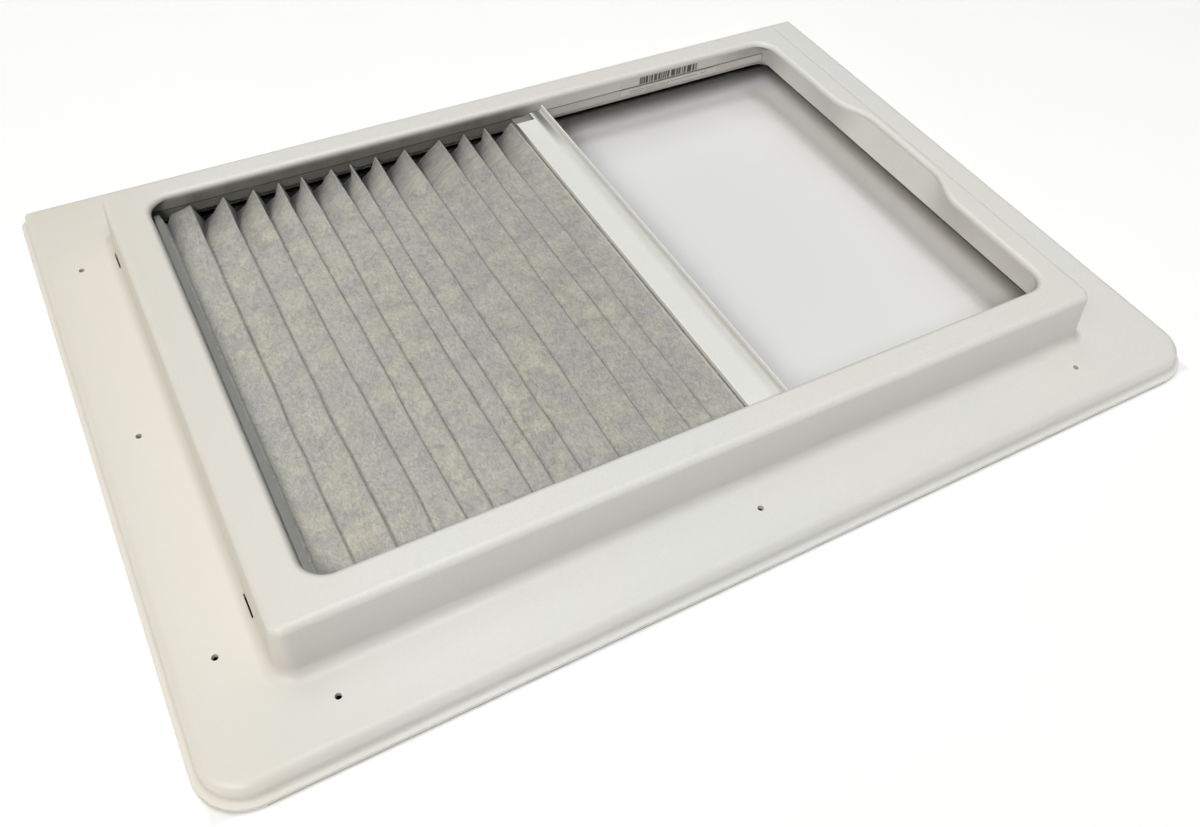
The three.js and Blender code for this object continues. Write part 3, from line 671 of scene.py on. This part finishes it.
def fold_line(y, lines):
    """The media's middle line in the XZ plane at one y, from the fixed end to the handle bar."""
    gape = min(max((y - FACE["back"] + GAPE["reach"]) / GAPE["reach"], 0), 1) ** 1.5
    corners = [(FACE["left"] + TAB["start"], CLOTH["tab"]), (FACE["left"] + TAB["end"], CLOTH["tab"])]
    corners.append((FACE["left"] + TAB["foot"], KNEE["height"] - TAB["drop"]))
    for index, line in enumerate(lines):
        lean = wander(index, y, 2.2, 130.0) + wander(index + 40, y, 0.7, 35.0)
        ridge = (line + lean, CLOTH["ridge"] + wander(index + 20, y, 1.0, 90.0))
        depth = CLOTH["valley"] + wander(index + 60, y, 1.2, 110.0) - GAPE["drop"] * gape
        fold = CLOTH["fold"] + GAPE["fold"] * gape
        valley = line + lean * 0.6 + fold
        knee = (valley + KNEE["along"] + KNEE["wide"] * gape, KNEE["height"] - KNEE["drop"] * gape)
        corners += [ridge, (valley, depth), knee]
    corners += [(BAR_LEFT - 1.4, CLOTH["tab"] - 0.3), (BAR_LEFT + TAB["under_bar"], CLOTH["tab"])]
    # Dust and painted shade: its weight grows towards the back end.
    back_dust_and_shade = min(max((y - FACE["back"] + VALLEY_DUST_AND_SHADE["reach"]) / VALLEY_DUST_AND_SHADE["reach"], 0), 1)
    points, creases, valley_dust_and_shade = [], [], []
    for index, (start, end) in enumerate(zip(corners, corners[1:])):
        rising = index > 1 and index % 3 == 2
        stops = RISE_STOPS if rising else FALL_STOPS
        belly = (0.3 + wander(index, y, 0.5, 160.0)) if rising else 0.0
        # The ridge points carry the painted highlight.
        creases += [float(stop == 0.0 and index % 3 == 0 and index > 0) for stop in stops]
        # Dust and painted shade lie on the falling faces and the foot of the rising faces, so in the
        # valleys.
        if index < 2:
            valley_dust_and_shade += [0.0] * len(stops)
        elif rising:
            valley_dust_and_shade += [back_dust_and_shade * max(1 - stop / VALLEY_DUST_AND_SHADE["fade"], 0) for stop in stops]
        else:
            valley_dust_and_shade += [back_dust_and_shade * (stop if index % 3 == 0 else 1.0) for stop in stops]
        for stop in stops:
            bent = stop + belly * math.sin(2 * math.pi * stop) / (2 * math.pi)
            points.append((start[0] + (end[0] - start[0]) * stop, start[1] + (end[1] - start[1]) * bent))
    points.append(corners[-1])
    eased = [points[0]]
    for before, here, after in zip(points, points[1:], points[2:]):
        eased.append(tuple(0.25 * a + 0.5 * b + 0.25 * c for a, b, c in zip(before, here, after)))
    eased.append(points[-1])
    return eased, [*creases, 0.0], [*valley_dust_and_shade, 0.0]


def add_filter():
    lines = ridges()
    low, high = CLOTH_ENDS
    upper, lower, flat, ridge_highlights, valley_dust_and_shading = [], [], [], [], []
    for row in range(CLOTH_ROWS + 1):
        y = low + (high - low) * row / CLOTH_ROWS
        line, creases, valley_dust_and_shade = fold_line(y, lines)
        ridge_highlights += creases
        valley_dust_and_shading += valley_dust_and_shade
        length = 0.0
        for i, (x, z) in enumerate(line):
            before, after = line[max(i - 1, 0)], line[min(i + 1, len(line) - 1)]
            along = Vector((after[0] - before[0], after[1] - before[1])).normalized()
            if i:
                length += math.dist(line[i - 1], (x, z))
            inset = TAB["inset"] * min(max((FACE["left"] + 12 - x) / 4, 0), 1)
            share = (y - low) / (high - low)
            place = low + inset + (high - low - 2 * inset) * share
            half = CLOTH["half_thick"]
            upper.append((x - along.y * half, place, z + along.x * half))
            lower.append((x + along.y * half, place, z - along.x * half))
            flat.append((length * MM, y * MM, 0.0))
    columns = len(line)
    total = len(upper)
    faces = []
    for row in range(CLOTH_ROWS):
        for i in range(columns - 1):
            a, b = row * columns + i, (row + 1) * columns + i
            faces.append((a, a + 1, b + 1, b))
            faces.append((total + a, total + b, total + b + 1, total + a + 1))
    last = CLOTH_ROWS * columns
    for i in range(columns - 1):
        faces.append((i, total + i, total + i + 1, i + 1))
        faces.append((last + i, last + i + 1, total + last + i + 1, total + last + i))
    for row in range(CLOTH_ROWS):
        a, b = row * columns, (row + 1) * columns
        faces.append((a, b, total + b, total + a))
        a, b = a + columns - 1, b + columns - 1
        faces.append((a, total + a, total + b, b))
    cloth = new_piece("filter_media", upper + lower, faces)
    face_outwards(cloth)
    store = cloth.data.attributes.new("cloth", "FLOAT_VECTOR", "POINT")
    store.data.foreach_set("vector", [c for point in flat + flat for c in point])
    # Painted highlight along the ridges.
    ridge_highlight = cloth.data.attributes.new("ridge_highlight", "FLOAT", "POINT")
    ridge_highlight.data.foreach_set("value", ridge_highlights + [0.0] * total)
    # Dust and painted shade in the valleys near the back end.
    dust_and_shade = cloth.data.attributes.new("dust_and_shade", "FLOAT", "POINT")
    dust_and_shade.data.foreach_set("value", valley_dust_and_shading + valley_dust_and_shading)
    cloth.data.shade_smooth()
    cloth.data.set_sharp_from_angle(angle=math.radians(75))
    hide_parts("pleated_filter")
    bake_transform(cloth)
    return cloth


# ---- Foam seals ----


SEAL = {"sides": 20, "crown": 0.35, "steps": 90}


def add_seals(material):
    """A crowned foam strip in place of each plain one under the lip."""
    for name in ("seal_front", "seal_back", "seal_left", "seal_right"):
        low, high = (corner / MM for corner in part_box(name))
        along_x = high.x - low.x > high.y - low.y
        start, end = (low.x, high.x) if along_x else (low.y, high.y)
        inner, outer = (low.y, high.y) if along_x else (low.x, high.x)
        section = []
        for turn in range(SEAL["sides"]):
            angle = 2 * math.pi * turn / SEAL["sides"]
            across = math.copysign(abs(math.cos(angle)) ** SEAL["crown"], math.cos(angle))
            up = math.copysign(abs(math.sin(angle)) ** SEAL["crown"], math.sin(angle))
            middle = (inner + outer) / 2
            section.append((middle + across * (outer - inner) / 2, low.z + (1 + up) * (high.z - low.z) / 2))
        steps = SEAL["steps"]
        vertices, faces = [], []
        for step in range(steps + 1):
            place = start + (end - start) * step / steps
            for across, up in section:
                across += wander(len(name), place + across, 0.12, 14.0)
                vertices.append((place, across, up) if along_x else (across, place, up))
        size = len(section)
        for step in range(steps):
            for i in range(size):
                j = (i + 1) % size
                a, b = step * size, (step + 1) * size
                faces.append((a + i, a + j, b + j, b + i))
        faces += [list(range(size)), [steps * size + i for i in reversed(range(size))]]
        piece = new_piece("foam_" + name, vertices, faces)
        face_outwards(piece)
        piece.data.shade_smooth()
        piece.data.set_sharp_from_angle(angle=math.radians(60))
        piece.data.materials.append(material)
        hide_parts(name)
        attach(piece, "frame")


# ---- CAD nodes that stay ----

SHARP = math.radians(32)


def mark_sharp(mesh):
    """Marks the edges between faces that meet at an angle, matching split vertices by place."""
    def key(index):
        return tuple(round(c, 6) for c in mesh.vertices[index].co)

    normals = {}
    for polygon in mesh.polygons:
        for a, b in polygon.edge_keys:
            normals.setdefault(frozenset((key(a), key(b))), []).append(polygon.normal)
    for edge in mesh.edges:
        around = normals.get(frozenset(key(i) for i in edge.vertices), [])
        edge.use_edge_sharp = len(around) == 2 and around[0].angle(around[1], 0) > SHARP


def refine(name, material, edge=0.25, segments=2):
    """Rounds a CAD node's edges and gives it its finish."""
    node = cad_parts[name]
    mesh = node.data
    mark_sharp(mesh)
    mesh.polygons.foreach_set("use_smooth", [True] * len(mesh.polygons))
    weld = node.modifiers.new("weld", "WELD")
    weld.merge_threshold = 1e-6
    flat = node.modifiers.new("flat", "DECIMATE")
    flat.decimate_type = "DISSOLVE"
    flat.angle_limit = math.radians(0.5)
    flat.delimit = {"SHARP"}
    rounding = node.modifiers.new("edges", "BEVEL")
    rounding.width = edge * MM
    rounding.segments = segments
    rounding.limit_method = "ANGLE"
    rounding.angle_limit = SHARP
    rounding.miter_outer = "MITER_ARC"
    even = node.modifiers.new("even", "WEIGHTED_NORMAL")
    even.keep_sharp = False
    node.material_slots[0].material = material


def add_floor():
    """A pale sheet of paper with painted shade: a little greyer under the part and where it shows through
    the bay, and near black under the flange.
    """
    half = 3000
    corners = [(-half, -half, -0.2), (half, -half, -0.2), (half, half, -0.2), (-half, half, -0.2)]
    floor = new_piece("floor", corners, [(0, 1, 2, 3)])
    surface = Surface("floor_paper", Specular_IOR_Level=0.1)
    tone = surface.mix(surface.span(surface.noise(3, 3.0), 0.3, 0.7), (0.985, 0.985, 0.985), (1.0, 1.0, 1.0))
    half_x, half_y, inset = FLANGE["half_x"], FLANGE["half_y"], 12
    under = {"X": (-half_x, half_x), "Y": (-half_y, half_y)}
    hollow = {"X": (inset - half_x, half_x - inset), "Y": (inset - half_y, half_y - inset)}
    near, far = 24, 36
    rims = {"X": (FACE["left"] - near, FACE["right"] + far), "Y": (FACE["front"] - near, FACE["back"] + far)}
    bay = {"X": (FACE["left"], FACE["right"]), "Y": (FACE["front"], FACE["back"])}
    # Painted shade and shadow on the floor: pale grey under the whole part, near black under most of it,
    # pale grey again around the opening, and grey in the bay.
    shade_pale, shadow_dark, grey = (0.86, 0.86, 0.855), (0.04, 0.04, 0.04), (0.72, 0.72, 0.717)
    for reach, blend, shade_of in ((under, 4, shade_pale), (hollow, 4, shadow_dark), (rims, 4, shade_pale), (bay, 12, grey)):
        axes = surface.node("ShaderNodeSeparateXYZ")
        surface.feed(axes.inputs["Vector"], surface.place)
        within = 1.0
        for axis, (low, high) in reach.items():
            above = surface.span(axes.outputs[axis], (low - blend) * MM, low * MM, smooth=False)
            below = surface.span(axes.outputs[axis], high * MM, (high + blend) * MM, 1.0, 0.0, smooth=False)
            within = surface.math("MULTIPLY", surface.math("MULTIPLY", above, below), within)
        tone = surface.mix(within, tone, shade_of)
    floor.data.materials.append(surface.finish(tone, surface.span(surface.noise(40), 0.3, 0.7, 0.85, 0.95)))


add_camera()
add_world()
for light in LIGHTS:
    add_area_light(*light)
add_floor()

# Painted shade: a dark olive tone for the shaded places on the shell, the bar and the rail.
SHADE_OLIVE = (0.11, 0.112, 0.088)
# Mask of the inner back wall, for painted shade.
BACK_WALL_SHADE = [("Y", (156.5, 158)), ("Y", (175, 166)), ("Z", (51.5, 46)), ("X", (-262, -256))]
# Mask of the back-right inner corner, for painted shade.
FAR_CORNER_SHADE = [("X", (170, 236)), ("X", (259, 254)), ("Y", (120, 158)), ("Y", (176, 170)), ("Z", (50, 47))]
# Mask of the front side of the shell, for painted shade.
FRONT_SIDE_SHADE = [("Y", (-174, -190)), ("Z", (51, 47)), ("X", (330, 150)), ("X", (-325, -255))]
# Mask of the scoop wall, for painted shade.
SCOOP_WALL_SHADE = [("X", (236, 240)), ("X", (259, 254)), ("Z", (51, 47)), ("Y", (-110, -70)), ("Y", (110, 70))]
# Yellowing towards the left end, and painted shade in four places.
SHELL_YELLOWING_AND_SHADE = [
    {"share": 0.75, "fades": [("X", (-180, -300))], "tone": (0.7, 0.667, 0.585)},
    # Painted shade: the front side of the shell is darker.
    {"share": 0.4, "fades": FRONT_SIDE_SHADE, "tone": (0.6, 0.6, 0.58)},
    # Painted shade: dark olive on the inner back wall over the filter half.
    {"share": 0.86, "fades": [*BACK_WALL_SHADE, ("X", (44, 14))], "tone": SHADE_OLIVE},
    # Painted shade in the back-right inner corner.
    {"share": 0.45, "fades": FAR_CORNER_SHADE, "tone": SHADE_OLIVE},
    # Painted shade on the scoop wall.
    {"share": 0.25, "fades": SCOOP_WALL_SHADE, "tone": (0.3, 0.3, 0.28)},
]
# Painted shade on the handle bar.
BAR_PAINTED_SHADE = [
    # Painted shade: darker in the trough beside the lip.
    {"share": 0.5, "fades": [("X", (27.5, 35.5)), ("Z", (45.2, 44.4))], "tone": (0.3, 0.31, 0.29)},
    # Painted shadow: dark olive on the low part at the bar's back end.
    {"share": 0.93, "fades": [("Y", (106, 152)), ("Z", (42.95, 42.4))], "tone": SHADE_OLIVE},
]
SHELL_WHITE, SHELL_AGED = (0.725, 0.725, 0.707), (0.73, 0.715, 0.67)
BAR_WHITE, BAR_AGED = (0.755, 0.76, 0.74), (0.75, 0.75, 0.71)
shell_plastic = plastic("shell_plastic", SHELL_WHITE, SHELL_AGED, 0.42, zones=SHELL_YELLOWING_AND_SHADE)
# Painted shade: dark olive on the back guide rail over the filter half.
RAIL_PAINTED_SHADE = [{"share": 0.86, "fades": [("X", (44, 14)), ("Y", (150, 156))], "tone": SHADE_OLIVE}]
rail_plastic = plastic("rail_plastic", (0.62, 0.615, 0.58), (0.6, 0.58, 0.52), 0.4, 0.01, zones=RAIL_PAINTED_SHADE)
bar_plastic = plastic("bar_plastic", BAR_WHITE, BAR_AGED, 0.36, 0.015, ageing=0.5, zones=BAR_PAINTED_SHADE)
insert_plastic = plastic("insert_plastic", (0.5, 0.5, 0.48), (0.48, 0.46, 0.41), 0.5)
strip_plastic = plastic("strip_plastic", (0.31, 0.31, 0.295), (0.29, 0.28, 0.25), 0.5, wear=0.5)
plated = metal("plated_steel", (0.62, 0.61, 0.6), 0.34)
spring = metal("spring_steel", (0.5, 0.5, 0.51), 0.3)

shell = add_shell()
shell.data.materials.clear()
shell.data.materials.append(shell_plastic)
cloth = add_filter()
cloth.data.materials.append(filter_cloth())
add_seals(foam())

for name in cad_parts:
    if name.startswith("guide_rail"):
        refine(name, rail_plastic)
    elif name.startswith(("rail_end_block", "end_shoe", "pleat_anchor")):
        refine(name, insert_plastic)
    elif name.startswith(("rail_screw", "anchor_screw", "shoe_screw")):
        refine(name, plated, edge=0.12)
    elif name.startswith(("pleat_clamp", "pleat_clip")):
        refine(name, strip_plastic)
    elif name.startswith("retaining_clip"):
        refine(name, spring, edge=0.2)
refine("handle_bar", bar_plastic, edge=0.3, segments=3)
low, high = (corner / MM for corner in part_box("rating_label_upper"))
upper_bars = {"left": 123, "right": 176, "bottom": low.z + 0.3, "top": high.z - 0.5}
refine("rating_label_upper", paper("label_upper", bars=upper_bars), edge=0.04)
low, high = (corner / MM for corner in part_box("rating_label_lower"))
lower_rules = [
    {"left": 112, "right": 150, "bottom": low.z + 0.9, "top": low.z + 1.5},
    {"left": 112, "right": 186, "bottom": low.z + 2.4, "top": low.z + 3.0},
]
refine("rating_label_lower", paper("label_lower", rules=lower_rules), edge=0.04)
